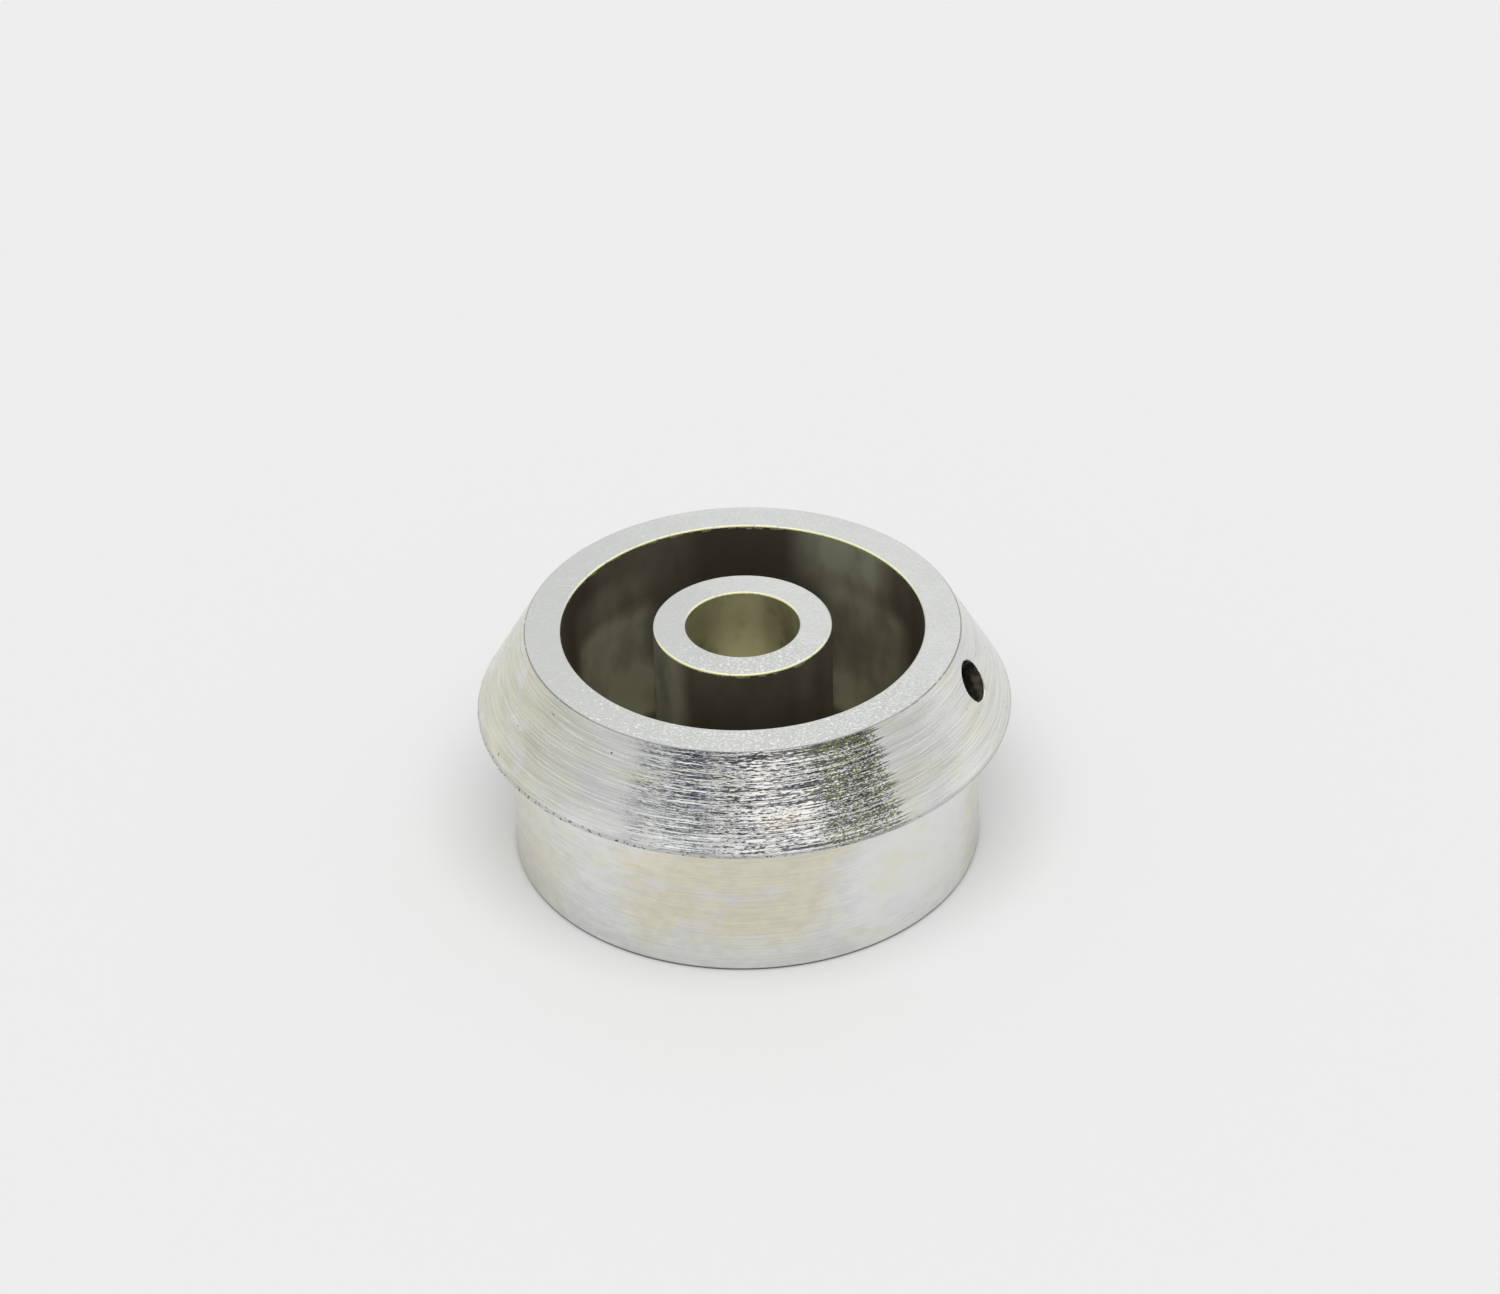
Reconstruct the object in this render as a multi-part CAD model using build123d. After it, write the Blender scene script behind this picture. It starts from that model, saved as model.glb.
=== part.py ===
from build123d import *
import math
import os

# Turned cone hub, one piece of zinc plated steel cut from round bar.
#
# From the top down: a narrow flat rim, a cone face that widens at 30 degrees to the axis, the
# widest edge, a square shoulder underneath it, and a plain spigot that the part stands on. A deep
# face groove is cut into the top. It leaves a bored boss standing in the middle, with its end
# level with the rim. One small hole is drilled square to the cone face and opens into the groove.
#
# Millimetres. The axis of turning is Z. The origin is on that axis, in the plane of the base.

# Driving sizes
widest_diameter = 60.0  # over the rounded edge
overall_height = 28.0
spigot_diameter = 53.0
spigot_height = 17.8
cone_half_angle = math.radians(30)  # between the axis and the cone face
groove_diameter = 40.5  # outer wall of the face groove
groove_depth = 25.0
boss_diameter = 20.0
bore_diameter = 12.7
cross_hole_diameter = 4.8
cross_hole_drop = 3.5  # from the rim down to where the hole's axis meets the cone face

# Edge finish
top_edge_break = 0.1  # chamfer on the rim, boss and bore
base_chamfer = 0.3  # chamfer on the spigot and bore at the base
cross_hole_break = 0.15  # chamfer round the mouth of the cross hole
widest_edge_radius = 0.3
groove_floor_radius = 0.8  # corner radius of the grooving tool

# Sizes that follow
widest_radius = widest_diameter / 2
spigot_radius = spigot_diameter / 2
groove_radius = groove_diameter / 2
boss_radius = boss_diameter / 2
bore_radius = bore_diameter / 2
cross_hole_radius = cross_hole_diameter / 2
groove_floor = overall_height - groove_depth
cone_slope = math.tan(cone_half_angle)  # gain in radius for each millimetre down the cone
rounding_loss = widest_edge_radius * (cone_slope + 1 / math.cos(cone_half_angle) - 1)
cone_foot_radius = widest_radius + rounding_loss  # where the cone meets the shoulder if left sharp
rim_radius = cone_foot_radius - (overall_height - spigot_height) * cone_slope


def corner(section, radius, height):
    """The corner of the section nearest to that radius and height."""
    return section.vertices().sort_by_distance((radius, 0, height))[0]


def half_section():
    """Half of the section through the axis, a face in the XZ plane."""
    outline = Polyline(
        (bore_radius, 0, 0),
        (spigot_radius, 0, 0),
        (spigot_radius, 0, spigot_height),
        (cone_foot_radius, 0, spigot_height),
        (rim_radius, 0, overall_height),
        (groove_radius, 0, overall_height),
        (groove_radius, 0, groove_floor),
        (boss_radius, 0, groove_floor),
        (boss_radius, 0, overall_height),
        (bore_radius, 0, overall_height),
        close=True,
    )
    section = make_face(outline)
    for radius in (rim_radius, groove_radius, boss_radius, bore_radius):
        section = chamfer(corner(section, radius, overall_height), top_edge_break)
    for radius in (spigot_radius, bore_radius):
        section = chamfer(corner(section, radius, 0), base_chamfer)
    for radius in (groove_radius, boss_radius):
        section = fillet(corner(section, radius, groove_floor), groove_floor_radius)
    return fillet(corner(section, cone_foot_radius, spigot_height), widest_edge_radius)


def cross_hole():
    """The drill with its edge break, square to the cone face on the +X side."""
    mouth_radius = rim_radius + cross_hole_drop * cone_slope
    mouth = Plane(
        origin=(mouth_radius, 0, overall_height - cross_hole_drop),
        x_dir=(0, 1, 0),
        z_dir=(math.cos(cone_half_angle), 0, math.sin(cone_half_angle)),
    )
    wall_along_drill = (mouth_radius - groove_radius) / math.cos(cone_half_angle)
    reach = wall_along_drill + cross_hole_diameter  # well clear of the wall, short of the boss
    drill = Cylinder(cross_hole_radius, 2 * reach)
    wide_radius = cross_hole_radius + 2 * cross_hole_break
    edge_break = Cone(cross_hole_radius, wide_radius, 2 * cross_hole_break)
    return mouth * (drill + edge_break)


def turned_hub():
    blank = revolve(half_section(), Axis.Z)
    hub = blank - cross_hole()
    hub.label = "turned_hub"
    return hub


os.makedirs("parts", exist_ok=True)
export_step(turned_hub(), "parts/turned_hub.step")
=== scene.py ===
import random
from math import cos, pi, radians, sin, tan

import bmesh
import bpy
from mathutils import Matrix, Vector, noise


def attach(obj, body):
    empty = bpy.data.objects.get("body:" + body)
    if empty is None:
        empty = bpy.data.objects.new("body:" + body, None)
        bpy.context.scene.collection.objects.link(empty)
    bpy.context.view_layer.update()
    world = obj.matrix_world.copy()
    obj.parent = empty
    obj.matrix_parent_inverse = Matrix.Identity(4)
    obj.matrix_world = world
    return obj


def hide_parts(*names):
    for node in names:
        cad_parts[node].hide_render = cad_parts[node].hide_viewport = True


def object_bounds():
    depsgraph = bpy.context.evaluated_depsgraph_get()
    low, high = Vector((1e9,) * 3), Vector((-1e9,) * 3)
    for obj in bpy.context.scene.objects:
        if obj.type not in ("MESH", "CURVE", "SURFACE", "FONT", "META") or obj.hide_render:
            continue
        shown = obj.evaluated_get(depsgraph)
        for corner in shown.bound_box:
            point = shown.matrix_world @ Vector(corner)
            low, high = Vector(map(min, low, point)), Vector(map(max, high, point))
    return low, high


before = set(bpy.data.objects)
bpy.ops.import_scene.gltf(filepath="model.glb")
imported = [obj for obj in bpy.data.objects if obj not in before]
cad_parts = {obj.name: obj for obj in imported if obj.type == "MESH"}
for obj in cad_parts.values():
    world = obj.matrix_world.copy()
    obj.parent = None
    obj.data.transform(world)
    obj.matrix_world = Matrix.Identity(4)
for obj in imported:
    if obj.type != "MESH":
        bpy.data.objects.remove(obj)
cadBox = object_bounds()
mm = 0.001
print("frame loaded, hub is", round((cadBox[1].x - cadBox[0].x) / mm, 2), "mm across")

# Turned hub, sizes in millimetres
hub = {
    "height": (cadBox[1].z - cadBox[0].z) / mm,
    "widestDiameter": (cadBox[1].x - cadBox[0].x) / mm,
    "spigotDiameter": 53.0,
    "spigotHeight": 17.8,
    "coneAngle": radians(30),  # from the axis
    "grooveDiameter": 40.5,
    "grooveDepth": 25.0,
    "bossDiameter": 20.0,
    "boreDiameter": 12.7,
    "insideFrame": 0.03,  # how far the widest edge keeps inside the frame's box
    "rimEdgeRound": 0.14,
    "innerEdgeRound": 0.22,  # groove, boss and bore
    "baseEdgeRound": 0.3,
    "widestEdgeRound": 0.3,
    "shoulderRootRound": 0.2,
    "grooveFloorRound": 0.8,
    "roundSteps": 4,
    "turnSteps": 288,
    "sharpAngle": 38,  # degrees between faces that meet in a sharp edge
}

# Marks that the turning tool left on the cone, millimetres
feedMarks = {
    "count": 26,
    "pointsPerMark": 7,
    "depth": 0.020,
    "depthSpread": 0.7,  # from one mark to the next
    "fadeLength": 6.0,  # how soon a mark grows deeper or fainter along its way round
    "fade": 1.3,
    "tearDepth": 0.016,
    "tearLength": 3.2,
    "tearWidth": 0.34,
    "markShift": 5.3,  # how far apart two marks are in the noise that fades them
    "leastDepth": 0.05,  # share of its depth that a mark keeps where it is faintest
    "aboveShoulder": 0.2,  # plain width that is left at each end of the cone
    "belowRim": 0.05,
    "seed": 11,
}

# Hole drilled square to the cone, millimetres
crossHole = {
    "diameter": 4.8,
    "drop": 3.5,  # from the rim to where the hole's axis meets the cone
    "edgeBreak": 0.15,
    "steps": 96,
    "cutterLength": 3,  # outside the cone
    "weldReach": 0.6,  # outside the hole's wall
    "weld": 0.012,  # corners nearer than this become one
}

sameCorner = 1e-7  # metres
onSurface = 0.02  # millimetres that a corner may be off a surface and still belong to it


def newObject(name, mesh):
    made = bpy.data.objects.new(name, mesh)
    bpy.context.scene.collection.objects.link(made)
    return made


def finishedMesh(name, bm):
    mesh = bpy.data.meshes.new(name)
    bm.to_mesh(mesh)
    bm.free()
    return mesh


def coneSizes():
    slope = tan(hub["coneAngle"])
    loss = hub["widestEdgeRound"] * (slope + 1 / cos(hub["coneAngle"]) - 1)
    foot = hub["widestDiameter"] / 2 + loss - hub["insideFrame"]
    rim = foot - (hub["height"] - hub["spigotHeight"]) * slope
    return slope, foot, rim


def hubSection(bm):
    _, foot, rim = coneSizes()
    height = hub["height"]
    spigot, groove = hub["spigotDiameter"] / 2, hub["grooveDiameter"] / 2
    boss, bore = hub["bossDiameter"] / 2, hub["boreDiameter"] / 2
    floor = height - hub["grooveDepth"]
    inner, base = hub["innerEdgeRound"], hub["baseEdgeRound"]
    widest = hub["widestEdgeRound"] / tan((pi / 2 - hub["coneAngle"]) / 2)  # tangent length
    corners = [  # radius, height, distance that the corner is rounded over
        (bore, 0, base),
        (spigot, 0, base),
        (spigot, hub["spigotHeight"], hub["shoulderRootRound"]),
        (foot, hub["spigotHeight"], widest),
        (rim, height, hub["rimEdgeRound"]),
        (groove, height, inner),
        (groove, floor, hub["grooveFloorRound"]),
        (boss, floor, hub["grooveFloorRound"]),
        (boss, height, inner),
        (bore, height, inner),
    ]
    points = [bm.verts.new((radius * mm, 0, z * mm)) for radius, z, _ in corners]
    bm.faces.new(points)
    for point, (_, _, distance) in zip(points, corners):
        bmesh.ops.bevel(bm, geom=[point], offset=distance * mm, offset_type="OFFSET",
                        segments=hub["roundSteps"], profile=0.5, affect="VERTICES", material=-1,
                        clamp_overlap=True)


def onCone(point):
    slope, foot, _ = coneSizes()
    radius, z = Vector(point[:2]).length / mm, point[2] / mm
    along = foot - (z - hub["spigotHeight"]) * slope
    low, high = hub["spigotHeight"] + feedMarks["aboveShoulder"], hub["height"] - feedMarks["belowRim"]
    return abs(radius - along) < onSurface and low < z < high


def divideConeFace(bm):
    coneEdges = [edge for edge in bm.edges if all(onCone(corner.co) for corner in edge.verts)]
    longest = max(coneEdges, key=lambda edge: edge.calc_length())
    bmesh.ops.subdivide_edges(bm, edges=[longest], cuts=feedMarks["count"] * feedMarks["pointsPerMark"] - 1)


def cutFeedMarks(bm):
    _, foot, rim = coneSizes()
    angle = hub["coneAngle"]
    pitch = (foot - rim) / sin(angle) / feedMarks["count"]
    chance = random.Random(feedMarks["seed"])
    depths = [feedMarks["depth"] * (1 + feedMarks["depthSpread"] * chance.uniform(-1, 1))
              for _ in range(feedMarks["count"] + 1)]
    fading, length, width = feedMarks["fadeLength"], feedMarks["tearLength"], feedMarks["tearWidth"]
    for vertex in bm.verts:
        if not onCone(vertex.co):
            continue
        x, y, z = vertex.co / mm
        mark, across = divmod((z - hub["spigotHeight"]) / cos(angle) / pitch, 1)
        shift = mark * feedMarks["markShift"]
        fade = 1 + feedMarks["fade"] * noise.noise(Vector((x / fading, y / fading, shift)))
        depth = depths[int(mark)] * max(feedMarks["leastDepth"], fade) * (1 - (2 * across - 1) ** 2)
        tear = noise.noise(Vector((x / length, y / length, z / width)))
        depth += max(0, tear) * feedMarks["tearDepth"]
        outward = Vector((x, y, 0)).normalized() * cos(angle) + Vector((0, 0, sin(angle)))
        vertex.co -= outward * depth * mm


def holeMouth():  # radius of the cone where the hole's axis meets it
    slope, _, rim = coneSizes()
    return rim + crossHole["drop"] * slope


def drill():
    angle = hub["coneAngle"]
    radius, edgeBreak = crossHole["diameter"] / 2, crossHole["edgeBreak"]
    mouthRadius = holeMouth()
    reach = (mouthRadius - hub["grooveDiameter"] / 2) / cos(angle) + crossHole["diameter"]
    bm = bmesh.new()
    wide, top = radius + 2 * edgeBreak, crossHole["cutterLength"]
    side = [(0, -reach), (radius, -reach), (radius, -edgeBreak), (wide, edgeBreak), (wide, top), (0, top)]
    points = [bm.verts.new((r * mm, 0, z * mm)) for r, z in side]
    edges = [bm.edges.new(pair) for pair in zip(points, points[1:])]
    bmesh.ops.spin(bm, geom=points + edges, cent=(0, 0, 0), axis=(0, 0, 1), dvec=(0, 0, 0), angle=2 * pi,
                   steps=crossHole["steps"], use_merge=True, use_normal_flip=False, use_duplicate=False)
    bmesh.ops.remove_doubles(bm, verts=bm.verts, dist=sameCorner)
    bmesh.ops.recalc_face_normals(bm, faces=bm.faces)
    place = Matrix.Translation((mouthRadius * mm, 0, (hub["height"] - crossHole["drop"]) * mm))
    bmesh.ops.transform(bm, matrix=place @ Matrix.Rotation(pi / 2 - angle, 4, "Y"), verts=bm.verts)
    return newObject("drill", finishedMesh("drill", bm))


def applyModifiers(piece):
    graph = bpy.context.evaluated_depsgraph_get()
    old = piece.data
    piece.data = bpy.data.meshes.new_from_object(piece.evaluated_get(graph), depsgraph=graph)
    piece.modifiers.clear()
    piece.data.name = old.name
    bpy.data.meshes.remove(old)


def makeHub():
    bm = bmesh.new()
    hubSection(bm)
    divideConeFace(bm)
    bmesh.ops.delete(bm, geom=bm.faces[:], context="FACES_ONLY")
    bmesh.ops.spin(bm, geom=bm.verts[:] + bm.edges[:], cent=(0, 0, 0), axis=(0, 0, 1), dvec=(0, 0, 0),
                   angle=2 * pi, steps=hub["turnSteps"], use_merge=True, use_normal_flip=False,
                   use_duplicate=False)
    bmesh.ops.remove_doubles(bm, verts=bm.verts, dist=sameCorner)
    cutFeedMarks(bm)
    bmesh.ops.recalc_face_normals(bm, faces=bm.faces)
    for face in bm.faces:
        face.smooth = True
    piece = newObject("turnedHub", finishedMesh("turnedHub", bm))
    print("hub turned,", len(piece.data.polygons), "faces")

    cutter = drill()
    cut = piece.modifiers.new("crossHole", "BOOLEAN")
    cut.operation = "DIFFERENCE"
    cut.solver = "EXACT"
    cut.object = cutter
    bpy.context.view_layer.update()
    applyModifiers(piece)
    bpy.data.objects.remove(cutter)
    weldHole(piece.data)
    markSharpEdges(piece.data, radians(hub["sharpAngle"]))
    even = piece.modifiers.new("evenNormals", "WEIGHTED_NORMAL")
    even.keep_sharp = True
    bpy.context.view_layer.update()
    applyModifiers(piece)
    print("cross hole drilled,", len(piece.data.polygons), "faces")
    return piece


def weldHole(mesh):  # the cut leaves slivers at the hole's mouths
    bm = bmesh.new()
    bm.from_mesh(mesh)
    reach = crossHole["diameter"] / 2 + crossHole["weldReach"]
    near = [corner for corner in bm.verts if fromHoleAxis(corner.co) < reach]
    bmesh.ops.remove_doubles(bm, verts=near, dist=crossHole["weld"] * mm)
    bmesh.ops.dissolve_degenerate(bm, dist=sameCorner, edges=bm.edges)
    uneven = [face for face in bm.faces if len(face.verts) > 4]
    bmesh.ops.triangulate(bm, faces=uneven, quad_method="BEAUTY", ngon_method="BEAUTY")
    bm.to_mesh(mesh)
    bm.free()


def markSharpEdges(mesh, limit):
    bm = bmesh.new()
    bm.from_mesh(mesh)
    for face in bm.faces:
        face.smooth = True
    for edge in bm.edges:
        edge.smooth = edge.is_manifold and edge.calc_face_angle() < limit
    bm.to_mesh(mesh)
    bm.free()


# Shader maths: a Wire is a socket that Python's operators work on
class Wire:
    def __init__(self, tree, socket=None):
        self.tree = tree
        self.socket = socket

    def node(self, kind, settings=None, inputs=None, output=0):
        made = self.tree.nodes.new("ShaderNode" + kind)
        for name, value in (settings or {}).items():
            setattr(made, name, value)
        for name, value in (inputs or {}).items():
            if isinstance(value, Wire):
                self.tree.links.new(value.socket, made.inputs[name])
            else:
                made.inputs[name].default_value = value
        return Wire(self.tree, None if output is None else made.outputs[output])

    def maths(self, operation, a, b=0.0):
        return self.node("Math", {"operation": operation}, {0: a, 1: b})

    def __add__(self, other):
        return self.maths("ADD", self, other)

    def __radd__(self, other):
        return self.maths("ADD", other, self)

    def __sub__(self, other):
        return self.maths("SUBTRACT", self, other)

    def __rsub__(self, other):
        return self.maths("SUBTRACT", other, self)

    def __mul__(self, other):
        return self.maths("MULTIPLY", self, other)

    def __rmul__(self, other):
        return self.maths("MULTIPLY", other, self)

    def __truediv__(self, other):
        return self.maths("DIVIDE", self, other)

    def __rtruediv__(self, other):
        return self.maths("DIVIDE", other, self)

    def __pow__(self, other):
        return self.maths("POWER", self, other)

    def step(self, low, high):  # 0 below low, 1 above high, smooth between
        return self.node("MapRange", {"interpolation_type": "SMOOTHSTEP"},
                         {"Value": self, "From Min": low, "From Max": high})

    def stretched(self, scale):
        return self.node("VectorMath", {"operation": "MULTIPLY"}, {0: self, 1: scale})

    def noise(self, scale=1.0, detail=2.0, roughness=0.5):
        inputs = {"Vector": self, "Scale": scale, "Detail": detail, "Roughness": roughness}
        return self.node("TexNoise", {"noise_dimensions": "3D"}, inputs)

    def ringed(self, scale):  # noise along this number alone
        return self.node("TexNoise", {"noise_dimensions": "1D"}, {"W": self, "Scale": scale, "Detail": 2.0})

    def mixed(self, a, b):  # colour a where this wire is 0, b where it is 1
        return self.node("Mix", {"data_type": "RGBA", "clamp_factor": True}, {0: self, 6: a, 7: b}, 2)

    def between(self, a, b):  # number a where this wire is 0, b where it is 1
        return self * (b - a) + a


# Zinc plated steel, colours in linear light
zinc = {
    "plain": (0.78, 0.79, 0.765, 1),
    "cream": (0.77, 0.737, 0.605, 1),
    # The next two colours are painted shade for the cone's sides
    "creamShaded": (0.655, 0.65, 0.535, 1),
    "greyShaded": (0.66, 0.665, 0.65, 1),
    "lilac": (0.745, 0.735, 0.76, 1),
    # Grey of the burr band, darkened as painted shade
    "burrAndShade": (0.46, 0.46, 0.45, 1),
    "pit": (0.10, 0.10, 0.10, 1),
    # The next two colours are painted reflections of the dark and the olive parts of the room
    "darkRoomReflection": (0.11, 0.115, 0.13, 1),
    "oliveRoomReflection": (0.16, 0.18, 0.07, 1),
    "flat": (0.56, 0.57, 0.55, 1),
    "flatGrain": (0.74, 0.75, 0.735, 1),
    "glintWhite": (0.95, 0.95, 0.94, 1),
    # The next colour is a painted glint for bright edges
    "edge": (0.85, 0.86, 0.53, 1),
    "edgeDark": (0.30, 0.30, 0.29, 1),
    "grimeAndContactShadow": (0.07, 0.07, 0.06, 1),
    # The hole and recess colours below are painted shade of the hollows
    "hole": (0.035, 0.032, 0.030, 1),
    "recess": (0.185, 0.155, 0.118, 1),
    # The next colour is painted reflection on the groove's walls
    "recessReflection": (0.83, 0.84, 0.65, 1),
    "bore": (0.39, 0.365, 0.215, 1),
    # The bore's deeper colour is painted light, and its stain colour also paints shade
    "boreLitDeep": (0.88, 0.86, 0.57, 1),
    "boreStainAndShade": (0.16, 0.145, 0.09, 1),
}

def newFinish(name):
    material = bpy.data.materials.new(name)
    material.use_nodes = True
    material.node_tree.nodes.clear()
    return material, Wire(material.node_tree)


def surface(wire, colour, roughness, height, bumpDepth, metallic=1.0):
    bump = wire.node("Bump", None, {"Strength": 1.0, "Distance": bumpDepth * mm, "Height": height})
    shader = wire.node("BsdfPrincipled", None, {"Base Color": colour, "Roughness": roughness,
                                                "Metallic": metallic, "Normal": bump})
    wire.node("OutputMaterial", None, {"Surface": shader}, None)


def placeOnHub(wire):
    # Object coordinates in millimetres, and their parts with the distance from the axis
    place = wire.node("TexCoord", None, None, "Object").stretched((1 / mm, 1 / mm, 1 / mm))
    parts = {axis: wire.node("SeparateXYZ", None, {0: place}, axis) for axis in "XYZ"}
    parts["radius"] = (parts["X"] * parts["X"] + parts["Y"] * parts["Y"]) ** 0.5
    return place, parts


def facing(parts, azimuth, full, none):  # 1 up to one angle from the azimuth, 0 past the other
    turn = radians(azimuth)
    along = (parts["X"] * cos(turn) + parts["Y"] * sin(turn)) / parts["radius"]
    return along.step(cos(radians(none)), cos(radians(full)))


def weighed(*pairs):  # sum of wires, each times its own share
    terms = [wire * share for wire, share in pairs]
    return sum(terms[1:], terms[0])


def shaded(wire, colour, shade):
    settings = {"data_type": "RGBA", "blend_type": "MULTIPLY"}
    return wire.node("Mix", settings, {0: 1.0, 6: colour, 7: shade}, 2)


# In the looks below a grain is how often a noise changes per millimetre along X, Y and Z, and a
# heading is an azimuth from +X, the angle from it that is still full and the angle where it ends

# Plating that turns to cream and to lilac in soft patches
plating = {
    "grain": (0.16, 0.16, 0.26),
    "cream": (0.5, 0.68),  # noise where a patch begins, and is full
    "creamShare": 0.5,
    "lilac": (0.34, 0.46),
    "lilacShare": 0.6,
}


def tinted(place, plain, creamy):
    patches = place.stretched(plating["grain"]).noise(detail=3.0, roughness=0.6)
    cream = (patches.step(*plating["cream"]) * plating["creamShare"] + creamy).mixed(plain, zinc["cream"])
    return ((1 - patches.step(*plating["lilac"])) * plating["lilacShare"]).mixed(cream, zinc["lilac"])


# Turning marks that are too fine to cut: grain, and millimetres high
coneMarks = {
    "swell": ((0.12, 0.12, 0.6), 0.20),
    "rings": ((0.04, 0.04, 2.8), 0.055),
    "dashes": ((0.30, 0.30, 4.6), 0.042),
    "grit": ((2.2, 2.2, 5.5), 0.022),
}

coneLook = {
    "fineGrain": (0.12, 0.12, 5.0),
    "lineDark": (0.88, 0.88, 0.88, 1),
    "lineLight": (1.03, 1.03, 1.03, 1),
    "shadeLeft": (-149, 22, 42),
    "shadeFarLeft": (-156, 17, 33),
    "shadeLeftShare": 0.45,
    "shadeFarLeftShare": 0.5,
    "shadeRight": (8, 12, 26),
    "shadeRightShare": 0.45,
    "creamRight": (15, 20, 60),
    "creamRightShare": 0.1,
    "fleckGrain": (1.38, 1.38, 8.9),
    "speckGrain": (2.8, 2.8, 8.5),
    "ringGrain": (0.055, 0.055, 5.3),
    "oliveGrain": (1.5, 1.5, 2.5),
    "torn": (-60, 14, 25),
    "tornTrail": 1.5,  # how far lines trail out at the ends of the torn patch
    "fleckFront": (-86, 12, 17),
    "fleckFrontShare": 0.7,
    "deepTorn": (-47, 4, 15),
    "olive": (-47, 5, 18),
    "calm": (-75, 4, 12),
    "lip": (1.0, 0.3),  # below the rim, where flecks begin to crowd and where they are full
    "fleckLevel": (0.630, 0.685),
    "fleckStrength": 0.92,
    "burrAndShade": (0.35, 0.75),  # above the shoulder, where the burr and its painted shade are still full and where they end
    "burrGrain": (2.4, 2.4, 4.0),
    "burrPits": (-105, 30, 90),
    "pitGrain": (0.9, 0.9, 1.6),
    "hazeGrain": (0.22, 0.22, 0.5),
    "milky": (0.6, 4.4),  # above the shoulder, the same way as the burr
    "milkyMetallic": 0.6,
    "roughness": (0.05, 0.14),
}

# How much each of these adds to the flecks, painted reflections of the room, in the torn patch
fleckShares = {
    "flecks": 0.66,
    "ringLines": 0.50,
    "torn": 0.033,
    "deepTorn": 0.07,
    "lip": 0.095,
    "calm": -0.02,
}


def conePlating(wire, place, parts, fine):
    look = coneLook
    # Painted shade: the plating is darker on the cone's left and right, placed by heading round the hub
    coneShade = weighed((facing(parts, *look["shadeLeft"]), look["shadeLeftShare"]),
                     (facing(parts, *look["shadeFarLeft"]), look["shadeFarLeftShare"]))
    plain = coneShade.mixed(zinc["plain"], zinc["creamShaded"])
    plain = (facing(parts, *look["shadeRight"]) * look["shadeRightShare"]).mixed(plain, zinc["greyShaded"])
    lines = fine.step(0.36, 0.6).mixed(look["lineDark"], look["lineLight"])
    creamy = facing(parts, *look["creamRight"]) * look["creamRightShare"]
    return shaded(wire, tinted(place, plain, creamy), lines)


def paintedRoomFlecks(place, parts, colour):  # painted reflections of the dark room: short dark flecks in front on the torn turning marks, olive where it is torn most
    look = coneLook
    flecks = place.stretched(look["fleckGrain"]).noise(detail=1.0, roughness=0.6)
    specks = place.stretched(look["speckGrain"]).noise(detail=1.0, roughness=0.6)
    ringLines = place.stretched(look["ringGrain"]).noise(detail=1.0)
    torn = (facing(parts, *look["torn"]) + (ringLines - 0.5) * look["tornTrail"]).step(0.30, 0.70)
    deepTorn = facing(parts, *look["deepTorn"])
    lip = parts["Z"].step(*(hub["height"] - below for below in look["lip"]))
    made = {"flecks": flecks + (specks - flecks) * deepTorn, "ringLines": ringLines, "torn": torn,
            "deepTorn": deepTorn, "lip": lip, "calm": facing(parts, *look["calm"])}
    amount = weighed(*((made[name], share) for name, share in fleckShares.items()))
    where = facing(parts, *look["fleckFront"]) * look["fleckFrontShare"] + torn
    amount = amount.step(*look["fleckLevel"]) * where * look["fleckStrength"]
    olive = place.stretched(look["oliveGrain"]).noise(detail=1.0).step(0.40, 0.55)
    olive = olive * facing(parts, *look["olive"])
    return amount.mixed(colour, olive.mixed(zinc["darkRoomReflection"], zinc["oliveRoomReflection"]))


def coneFinish():
    material, wire = newFinish("zincConeFace")
    place, parts = placeOnHub(wire)
    look, low = coneLook, hub["spigotHeight"]
    marks = [place.stretched(grain).noise(detail=1.5, roughness=0.6) * high
             for grain, high in coneMarks.values()]
    fine = place.stretched(look["fineGrain"]).noise(detail=1.5, roughness=0.7)
    colour = paintedRoomFlecks(place, parts, conePlating(wire, place, parts, fine))
    # Painted shade: a darker grey band just above the widest edge, on the rough burr there
    burrAndShade = 1 - parts["Z"].step(*(low + above for above in look["burrAndShade"]))
    colour = (burrAndShade * 0.6).mixed(colour, zinc["burrAndShade"])
    dots = place.stretched(look["burrGrain"]).noise(detail=1.0).step(0.6, 0.66)
    colour = (burrAndShade * dots * facing(parts, *look["burrPits"])).mixed(colour, zinc["pit"])
    pits = place.stretched(look["pitGrain"]).noise(detail=2.0).step(0.75, 0.78)
    colour = pits.mixed(colour, zinc["pit"])
    # Plating is milky towards the shoulder, and shows less of the room there
    haze = place.stretched(look["hazeGrain"]).noise(detail=2.0).step(0.3, 0.6).between(0.4, 1.0)
    milky = (1 - parts["Z"].step(*(low + above for above in look["milky"]))) * haze
    surface(wire, colour, fine.between(*look["roughness"]) + burrAndShade * 0.25, sum(marks[1:], marks[0]), 1.0,
            milky.between(1.0, look["milkyMetallic"]))
    return material


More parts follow.
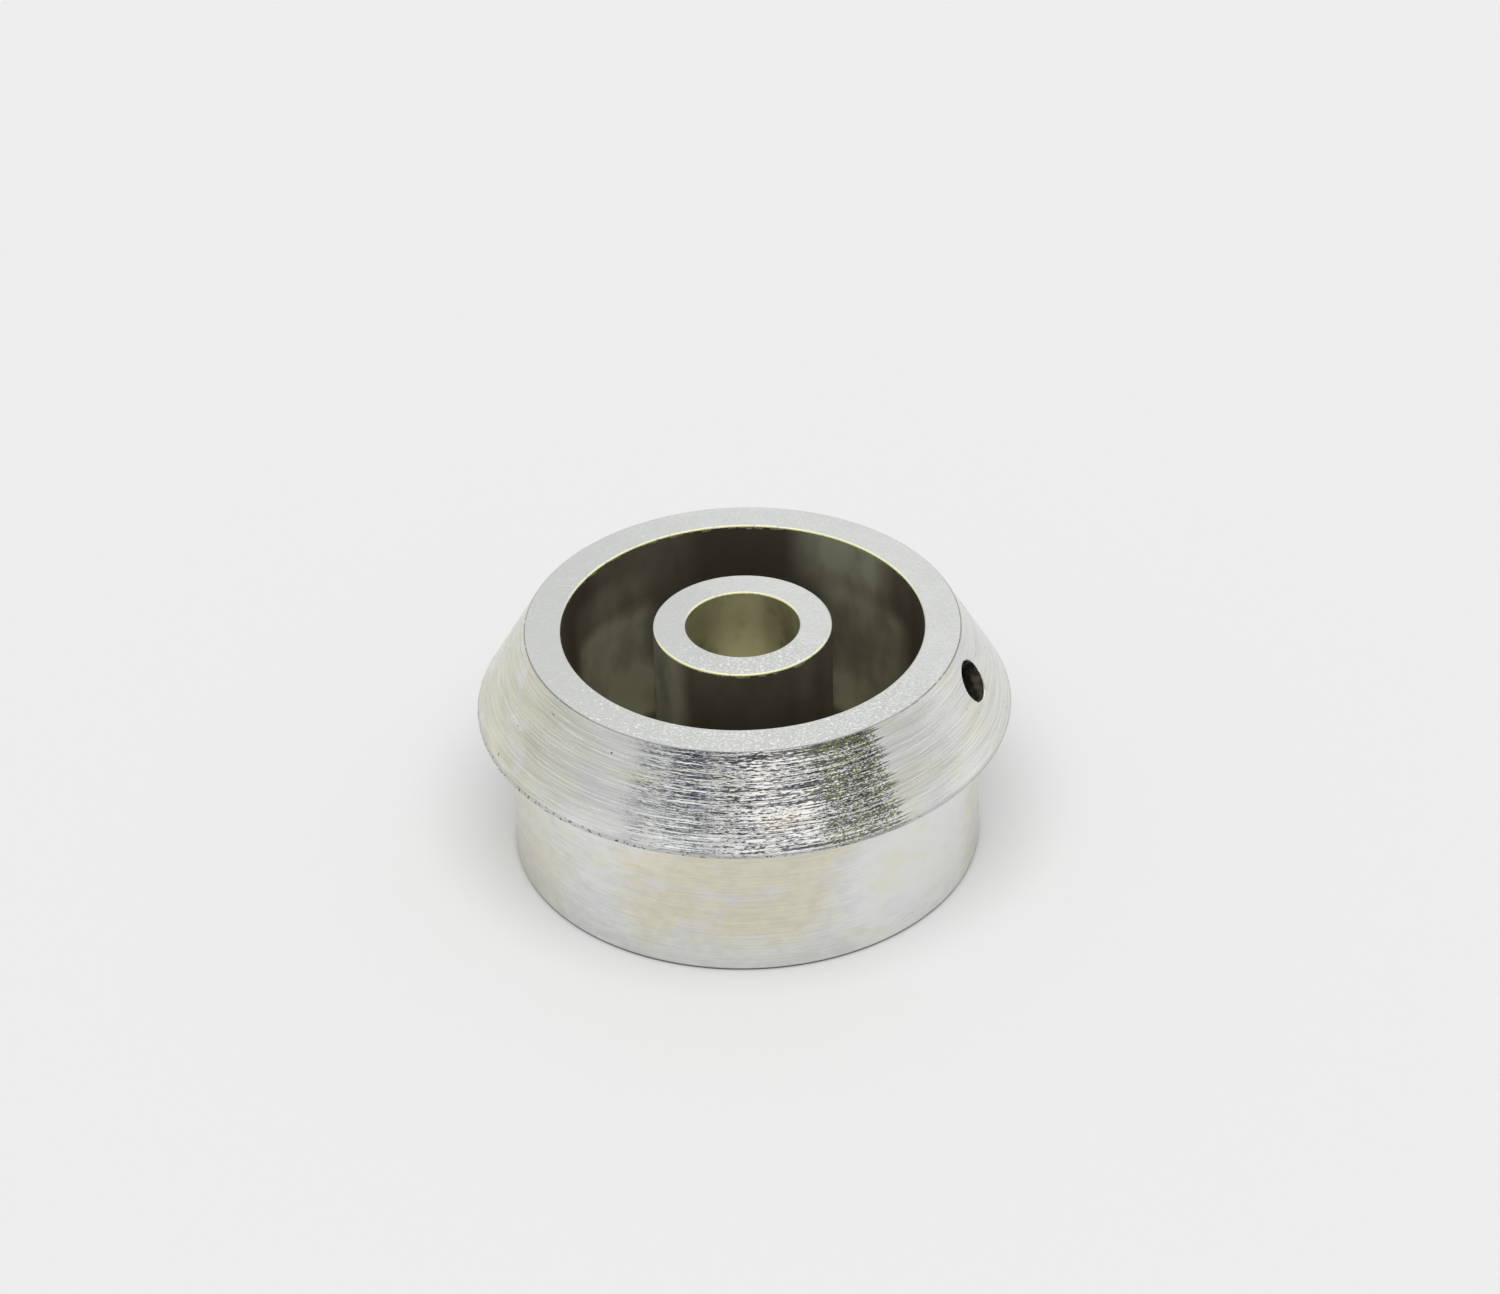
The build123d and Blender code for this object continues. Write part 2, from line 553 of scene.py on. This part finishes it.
spigotLook = {
    "lineGrain": (0.10, 0.10, 5.5),
    "scratchGrain": (0.45, 0.45, 9.0),
    "mottleGrain": (0.5, 0.5, 0.8),
    "lineShare": 0.35,
    "scratchShare": 0.25,
    "mottleShare": 0.40,
    "lineDark": (0.86, 0.86, 0.86, 1),
    "lineLight": (1.015, 1.015, 1.015, 1),
    "creamLow": (-80, 13, 31),
    "creamHigh": (-70, 13, 27),
    "creamLeft": (-150, 8, 26),
    "creamRight": (2, 4, 15),
    "creamShares": (1.2, 1.15, 0.6, 0.4),  # low, high, left and right
    "creamBegins": (2, 7),  # heights
    "creamTurns": (11, 16),
    "lightRight": (-28, 10, 26),
    "lightLeft": (-108, 6, 20),
    "lightLeftHeight": (9, 15),
    "foot": (1, 6),
    "footShadeShare": 0.35,
    "roughness": (0.28, 0.42),
}


def spigotFinish():
    material, wire = newFinish("zincSpigot")
    place, parts = placeOnHub(wire)
    look, height = spigotLook, parts["Z"]
    lines = place.stretched(look["lineGrain"]).noise(detail=2.0, roughness=0.65)
    scratches = place.stretched(look["scratchGrain"]).noise(detail=1.5)
    mottle = place.stretched(look["mottleGrain"]).noise(detail=4.0, roughness=0.65)
    marks = weighed((lines, look["lineShare"]), (scratches, look["scratchShare"]),
                    (mottle, look["mottleShare"]))
    upper = height.step(*look["creamTurns"])
    patches = (facing(parts, *look["creamLow"]) * height.step(*look["creamBegins"]) * (1 - upper),
               facing(parts, *look["creamHigh"]) * upper,
               facing(parts, *look["creamLeft"]),
               facing(parts, *look["creamRight"]))
    creamy = weighed(*zip(patches, look["creamShares"]))
    # Painted light: the spigot is lighter at the front right, and high up at the front left
    paintedLight = facing(parts, *look["lightLeft"]) * height.step(*look["lightLeftHeight"]) * 0.7
    paintedLight = paintedLight + facing(parts, *look["lightRight"])
    light = marks.step(0.36, 0.62) + paintedLight * 0.7 - creamy * 0.2
    # Painted shade: darker towards the foot
    light = light - (1 - height.step(*look["foot"])) * look["footShadeShare"]
    shade = light.mixed(look["lineDark"], look["lineLight"])
    colour = shaded(wire, tinted(place, zinc["plain"], creamy), shade)
    # Painted contact shadow with some dirt: a dark line where the spigot meets the floor
    grimeAndContactShadow = 1 - height.step(hub["baseEdgeRound"] * 0.6, hub["baseEdgeRound"] * 1.3)
    colour = (grimeAndContactShadow * 0.9).mixed(colour, zinc["grimeAndContactShadow"])
    surface(wire, colour, scratches.between(*look["roughness"]), lines * 0.5 + scratches * 0.5, 0.02)
    return material


flatLook = {
    "grainScale": 3.4,
    "cloudScale": 0.35,
    "glintScale": 2.6,
    "ringScale": 2.2,
    "left": (-164, 24, 90),
    "front": (-74, 20, 75),
    "level": 0.17,
    "roughness": (0.28, 0.5),
}


def faceFinish():
    material, wire = newFinish("zincFlatFace")
    place, parts = placeOnHub(wire)
    look = flatLook
    grain = place.noise(scale=look["grainScale"], detail=1.5, roughness=0.6)
    cloudy = place.noise(scale=look["cloudScale"], detail=2.0)
    below = 1 - parts["Z"].step(hub["spigotHeight"], hub["spigotHeight"] + 1)
    rings = (parts["radius"].ringed(look["ringScale"]) - 0.5) * below
    front = facing(parts, *look["front"])
    tone = look["level"] + (grain.step(0.36, 0.66) - 0.5) * front.between(0.35, 1.5) + cloudy * 0.5
    # Painted shade: the top faces are darker at the left and at the front
    tone = tone - facing(parts, *look["left"]) * 0.42 - front * 0.28 + rings * 0.9
    colour = tone.mixed(zinc["flat"], zinc["flatGrain"])
    # Painted glints: white dots on the top faces, most of them at the front
    glintDots = place.noise(scale=look["glintScale"], detail=1.0).step(0.63, 0.69)
    colour = (glintDots * front.between(0.12, 0.7) * (1 - below)).mixed(colour, zinc["glintWhite"])
    surface(wire, colour, grain.between(*look["roughness"]), grain + rings, 0.06)
    return material


edgeLook = {
    "burrGrain": (0.9, 0.9, 0.2),
    "burrReach": 0.48,  # how far a burr hangs down into the groove
    "behind": (105, 45, 95),
    "inFront": (-74, 45, 95),
    "bossFrom": (7.5, 8.5),  # radii
    "bossTo": (14, 16),
    "rimFrom": (21, 22),
    "darkenedLeft": (-155, 16, 42),
    "darkenedRight": (6, 10, 36),
    "darkenedAll": 0.35,
    "nickScale": 0.9,
    "roughness": (0.16, 0.4),
}


def raggedEdge(place, parts):  # 1 from the top face down to a ragged depth
    burrs = place.stretched(edgeLook["burrGrain"]).noise(detail=2.0, roughness=0.6).step(0.3, 0.7)
    return 1 - (hub["height"] - parts["Z"] - burrs * edgeLook["burrReach"]).step(-0.03, 0.03)


def glintSides(parts):  # where glints are painted: the groove and the bore behind, the boss in front
    boss = parts["radius"].step(*edgeLook["bossFrom"]) * (1 - parts["radius"].step(*edgeLook["bossTo"]))
    return boss.between(facing(parts, *edgeLook["behind"]), facing(parts, *edgeLook["inFront"]))


def edgeFinish():
    material, wire = newFinish("brightTurnedEdge")
    place, parts = placeOnHub(wire)
    look = edgeLook
    nicks = place.noise(scale=look["nickScale"], detail=3.0, roughness=0.6)
    rim = parts["radius"].step(*look["rimFrom"])
    # Painted glints: a yellowish bright colour on the inner edges behind and on the boss's edge in front
    colour = (glintSides(parts) * (1 - rim) * nicks.step(0.30, 0.44)).mixed(zinc["flat"], zinc["edge"])
    # The rim's outer edge is darker in places
    darkened = facing(parts, *look["darkenedLeft"]) + facing(parts, *look["darkenedRight"]) + look["darkenedAll"]
    darkened = darkened * rim * nicks.step(0.34, 0.46)
    surface(wire, darkened.mixed(colour, zinc["edgeDark"]), nicks.between(*look["roughness"]), nicks, 0.03)
    return material


def holeFinish():
    material, wire = newFinish("holeInPaintedShade")
    place, _ = placeOnHub(wire)
    stain = place.noise(scale=0.8, detail=3.0)
    # Painted shade: the inside of the cross hole is near black, mottled towards the groove's colour
    colour = stain.step(0.4, 0.7).mixed(zinc["hole"], zinc["recess"])
    surface(wire, colour, stain.between(0.35, 0.6), stain, 0.03, metallic=0.5)
    return material


recessLook = {
    "floorFade": (2.0, 0.6),  # above the groove's floor
    "floorLight": 0.18,
    "cloudGrain": (0.22, 0.22, 0.12),
    "ringScale": 3.0,
    "roughness": (0.42, 0.34),  # walls and the floor's rings
    "metallic": 0.8,
}

# Painted reflections, paler zones on the walls of the groove: heading, from and to what depth below the rim,
# strength
recessReflectionZones = [
    ((68, 2, 24), -3, 8, 0.95),
    ((48, 6, 16), -3, 8, 0.14),
    ((157, 6, 22), 2, 24, 0.26),
    ((154, 10, 22), 7, 34, 0.80),
    ((143, 8, 26), -3, 10, 0.20),
    ((138, 8, 20), 15, 40, 0.50),
    ((58, 9, 25), 5, 34, 0.62),
    ((76, 8, 20), 17, 40, 0.35),
    ((-95, 20, 50), 9, 40, 0.08),
    ((-137, 9, 28), -3, 30, 0.62),
    ((-74, 20, 60), -3, 9, 0.12),
    ((-15, 7, 27), -3, 30, 0.20),
]


def recessFinish():
    material, wire = newFinish("recessInPaintedShade")
    place, parts = placeOnHub(wire)
    look = recessLook
    # Painted shade and light: the groove is dark brown, with paler painted reflections on its walls and a
    # paler floor
    depth = hub["height"] - parts["Z"]
    onFloor = depth.step(*(hub["grooveDepth"] - above for above in look["floorFade"]))
    paintedReflection = onFloor * look["floorLight"]
    for heading, start, end, strength in recessReflectionZones:
        between = depth.step(start, start + 3) * (1 - depth.step(end - 6, end + 2))
        paintedReflection = facing(parts, *heading) * between * (1 - onFloor) * strength + paintedReflection
    cloudy = place.stretched(look["cloudGrain"]).noise(detail=3.0, roughness=0.55).step(0.3, 0.7)
    colour = (paintedReflection * cloudy.between(0.65, 1.2) + cloudy * 0.03).mixed(zinc["recess"], zinc["recessReflection"])
    # Painted glint along the ragged top of the groove's wall
    colour = (raggedEdge(place, parts) * glintSides(parts)).mixed(colour, zinc["edge"])
    rings = parts["radius"].ringed(look["ringScale"]) * onFloor
    surface(wire, colour, rings.between(*look["roughness"]), cloudy + rings * 0.8, 0.02, look["metallic"])
    return material


boreLook = {
    "streakGrain": (0.5, 0.5, 0.25),
    "deep": (10, 2.5),  # below the rim
    "deepShare": 0.92,
    "streakShare": 0.38,
    "stainScale": 0.3,
    "stainShare": 0.35,
    "left": (168, 10, 50),
    "right": (44, 10, 50),
    "shadedSideShare": 0.48,
    "roughness": (0.38, 0.52),
    "metallic": 0.5,
}


def boreFinish():
    material, wire = newFinish("boreWithPaintedLightAndShade")
    place, parts = placeOnHub(wire)
    look = boreLook
    streaks = place.stretched(look["streakGrain"]).noise(detail=3.0)
    # Painted light: the bore is paler deeper down
    deep = 1 - parts["Z"].step(*(hub["height"] - below for below in look["deep"]))
    paler = weighed((deep, look["deepShare"]), (streaks, look["streakShare"]))
    stains = place.noise(scale=look["stainScale"], detail=3.0, roughness=0.5).step(0.48, 0.72)
    # Painted shade on the bore's left and right sides, mixed with random stains
    shadedSides = facing(parts, *look["left"]) + facing(parts, *look["right"])
    stainedAndShaded = weighed((stains, look["stainShare"]), (shadedSides, look["shadedSideShare"]))
    colour = stainedAndShaded.mixed(paler.mixed(zinc["bore"], zinc["boreLitDeep"]), zinc["boreStainAndShade"])
    surface(wire, colour, streaks.between(*look["roughness"]), streaks, 0.03, look["metallic"])
    return material


finishes = {"cone": coneFinish, "spigot": spigotFinish, "flat": faceFinish, "edge": edgeFinish,
            "hole": holeFinish, "recess": recessFinish, "bore": boreFinish}


def fromHoleAxis(point):
    angle = hub["coneAngle"]
    middle = point / mm - Vector((holeMouth(), 0, hub["height"] - crossHole["drop"]))
    along = Vector((cos(angle), 0, sin(angle)))
    return (middle - along * middle.dot(along)).length


# Which faces take the edge finish and the flat one: millimetres, and how far a normal leans up
edgeFaces = {
    "roundShare": 1.1,  # of an edge's round, counted down from the rim
    "innerWidth": 0.3,  # outside the groove's wall
    "rimWidth": 1,
    "innerLean": 0.1,
    "rimLean": 0.52,
    "level": 0.985,
    "holeBreakLean": 0.35,  # sideways
    "down": -0.9,
    "aboveBase": 1,
}


def onRoundEdge(radius, z, lean):
    groove, share = hub["grooveDiameter"] / 2, edgeFaces["roundShare"]
    onInner = z > hub["height"] - hub["innerEdgeRound"] * share and radius < groove + edgeFaces["innerWidth"]
    onRim = z > hub["height"] - hub["rimEdgeRound"] * share and radius > groove + edgeFaces["rimWidth"]
    return ((onInner and edgeFaces["innerLean"] < lean < edgeFaces["level"])
            or (onRim and edgeFaces["rimLean"] < lean < edgeFaces["level"]))


def finishAt(face):
    radius, z = Vector(face.center[:2]).length / mm, face.center.z / mm
    groove, lean = hub["grooveDiameter"] / 2, face.normal.z
    if face.center.x > 0 and radius > groove + onSurface:
        away = fromHoleAxis(face.center) - crossHole["diameter"] / 2
        if away < onSurface:
            return "hole"
        if away < 2 * crossHole["edgeBreak"] and abs(face.normal.y) > edgeFaces["holeBreakLean"]:
            return "edge"
    if onRoundEdge(radius, z, lean):
        return "edge"
    if radius < hub["boreDiameter"] / 2 + onSurface:
        return "bore"
    facesDown = lean < edgeFaces["down"] and z > edgeFaces["aboveBase"]
    if z > hub["height"] - onSurface or z < onSurface or facesDown:
        return "flat"
    if radius < groove + onSurface and z > edgeFaces["aboveBase"]:
        return "recess"
    return "spigot" if z < hub["spigotHeight"] else "cone"


def dressHub(piece):
    order = list(finishes)
    for name in order:
        piece.data.materials.append(finishes[name]())
    for face in piece.data.polygons:
        face.material_index = order.index(finishAt(face))


# Camera, metres and degrees
camera = {
    "lens": 103.2,
    "sensorWidth": 36,
    "clipStart": 0.01,
    "distance": 0.480,
    "elevation": 34.234,
    "azimuth": 15.67,
    "aimHeight": 0.02489,
    "roll": -1.363,
    "pan": -0.112,
}


def makeCamera():
    data = bpy.data.cameras.new("camera")
    data.lens = camera["lens"]
    data.sensor_width = camera["sensorWidth"]
    data.clip_start = camera["clipStart"]
    seen = newObject("camera", data)
    up, around = radians(camera["elevation"]), radians(camera["azimuth"])
    back = Vector((sin(around) * cos(up), -cos(around) * cos(up), sin(up)))
    place = Vector((0, 0, camera["aimHeight"])) + back * camera["distance"]
    turn = (Matrix.Rotation(around + radians(camera["pan"]), 4, "Z") @ Matrix.Rotation(pi / 2 - up, 4, "X")
            @ Matrix.Rotation(radians(camera["roll"]), 4, "Z"))
    seen.matrix_world = Matrix.Translation(place) @ turn
    bpy.context.scene.camera = seen


studio = {
    "floorSize": 6.0,
    "floorSquares": 8,
    "floorColour": (0.80, 0.80, 0.80, 1),
    "skyStrength": 0.57,
    "skyColour": (1, 1, 1, 1),
    "bounce": 1.08,  # how bright the sky is in what the metal throws back
    "tentLow": (0.86, 0.86, 0.86, 1),
    "tentHigh": (1.16, 1.16, 1.16, 1),
    "tentShade": (0.645, 0.645, 0.645, 1),
    "roomDark": (0.075, 0.09, 0.125, 1),
    "roomOlive": (0.085, 0.095, 0.05, 1),
    "roomBright": (1.15, 1.10, 1.08, 1),
    "ragged": 34.0,  # degrees that the edges of the room's dark parts wander by
    "crispShare": 0.3,  # of that, at the edges that are crisp
    "lampSpread": 56.0,  # degrees across, as a large soft box is
    "lampRise": 69.0,  # degrees above the floor
    "lampTurn": 1.0,  # degrees to the right of the camera
    "lampStrength": 1.66,
}

# The room behind the camera that the metal shows, dark at the left and olive at the right with a pale
# wall between, and dark rails above and below that wall. Each pair is where a part begins to fade
# and where it has done so, in degrees: headings are 0 on the camera's side and positive to its right.
room = {
    "darkFrom": (-55, -49),
    "darkDeepens": (-44, -28),
    "darkShare": 0.45,  # before it deepens
    "wallFrom": (-18, -6),
    "oliveFrom": (40, 52),
    "oliveTo": (57, 64),
    "levelFrom": (13, 17),  # from here on, angles above the horizon
    "levelTo": (33, 37),
    "lowRailFrom": (-1, 2),
    "lowRailTo": (11, 14),
    "highRailFrom": (36, 39),
    "highRailTo": (52, 56),
    "tentRises": (8, 66),
    "shadeTo": (50, 75),
    "leftShadeFrom": (-125, -100),  # headings again
    "leftShadeTo": (-50, -42),
    "rightShadeFrom": (58, 66),
    "rightShadeTo": (84, 114),
}


def makeFloor():
    bm = bmesh.new()
    squares = studio["floorSquares"]
    bmesh.ops.create_grid(bm, x_segments=squares, y_segments=squares, size=studio["floorSize"] / 2)
    floor = newObject("floor", finishedMesh("floor", bm))
    material, wire = newFinish("paleFloor")
    shader = wire.node("BsdfPrincipled", None, {"Base Color": studio["floorColour"], "Roughness": 0.9,
                                                "Specular IOR Level": 0.0})
    wire.node("OutputMaterial", None, {"Surface": shader}, None)
    floor.data.materials.append(material)


def fadeIn(angle, name):
    return angle.step(*(radians(limit) for limit in room[name]))


def fadeOut(angle, name):
    return 1 - fadeIn(angle, name)


def roomColour(heading, around, rise):
    wander = (heading.noise(scale=5.0, detail=2.0) - 0.5) * radians(studio["ragged"] * 2)
    ragged = around + wander
    crisp = around + wander * studio["crispShare"]
    dark = fadeIn(crisp, "darkFrom") * fadeIn(crisp, "darkDeepens").between(room["darkShare"], 1.0)
    dark = dark * fadeOut(ragged, "wallFrom")
    olive = fadeIn(ragged, "oliveFrom") * fadeOut(crisp, "oliveTo")
    wall = fadeIn(ragged, "wallFrom") * fadeOut(ragged, "oliveFrom")
    level = fadeIn(rise, "levelFrom") * fadeOut(rise, "levelTo")
    highRail = fadeIn(rise, "highRailFrom") * fadeOut(rise, "highRailTo")
    rail = fadeIn(rise, "lowRailFrom") * fadeOut(rise, "lowRailTo") + highRail
    tent = fadeIn(rise, "tentRises").mixed(studio["tentLow"], studio["tentHigh"])
    leftShade = fadeIn(around, "leftShadeFrom") * fadeOut(around, "leftShadeTo")
    rightShade = fadeIn(around, "rightShadeFrom") * fadeOut(around, "rightShadeTo")
    tent = ((leftShade + rightShade) * fadeOut(rise, "shadeTo")).mixed(tent, studio["tentShade"])
    behind = olive.mixed(studio["roomDark"], studio["roomOlive"])
    lit = (wall * (1 - rail)).mixed(tent, studio["roomBright"])
    return ((dark + olive) * level + wall * rail).mixed(lit, behind)


def makeWorld():
    world = bpy.data.worlds.new("studio")
    bpy.context.scene.world = world
    world.use_nodes = True
    world.node_tree.nodes.clear()
    wire = Wire(world.node_tree)
    heading = wire.node("TexCoord", None, None, "Generated")
    x, y, z = (wire.node("SeparateXYZ", None, {0: heading}, axis) for axis in "XYZ")
    turn = radians(camera["azimuth"])
    side = x * cos(turn) + y * sin(turn)
    front = x * sin(turn) - y * cos(turn)
    around, rise = wire.maths("ARCTAN2", side, front), wire.maths("ARCSINE", z)
    # What the metal shows to the eye, and not what it throws back on the floor
    glossy = wire.node("LightPath", None, None, "Is Glossy Ray")
    bounced = wire.node("LightPath", None, None, "Diffuse Depth").step(0.2, 0.8)
    colour = (glossy * (1 - bounced)).mixed(studio["skyColour"], roomColour(heading, around, rise))
    strength = glossy.between(studio["skyStrength"], studio["bounce"])
    sky = wire.node("Background", None, {"Color": colour, "Strength": strength})
    wire.node("OutputWorld", None, {"Surface": sky}, None)


def makeLamp():
    data = bpy.data.lights.new("softKey", "SUN")
    data.angle = radians(studio["lampSpread"])
    data.energy = studio["lampStrength"]
    lamp = newObject("softKey", data)
    lamp.visible_glossy = False  # metal shows the room instead
    around, up = radians(camera["azimuth"] + studio["lampTurn"]), radians(studio["lampRise"])
    aim = Vector((sin(around) * cos(up), -cos(around) * cos(up), sin(up)))
    lamp.rotation_euler = aim.to_track_quat("Z", "Y").to_euler()


makeCamera()
makeFloor()
makeWorld()
makeLamp()
print("studio ready")

turnedHub = makeHub()
dressHub(turnedHub)
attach(turnedHub, "root")
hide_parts("turned_hub")
print("hub dressed")

bpy.context.scene.view_settings.view_transform = "Standard"
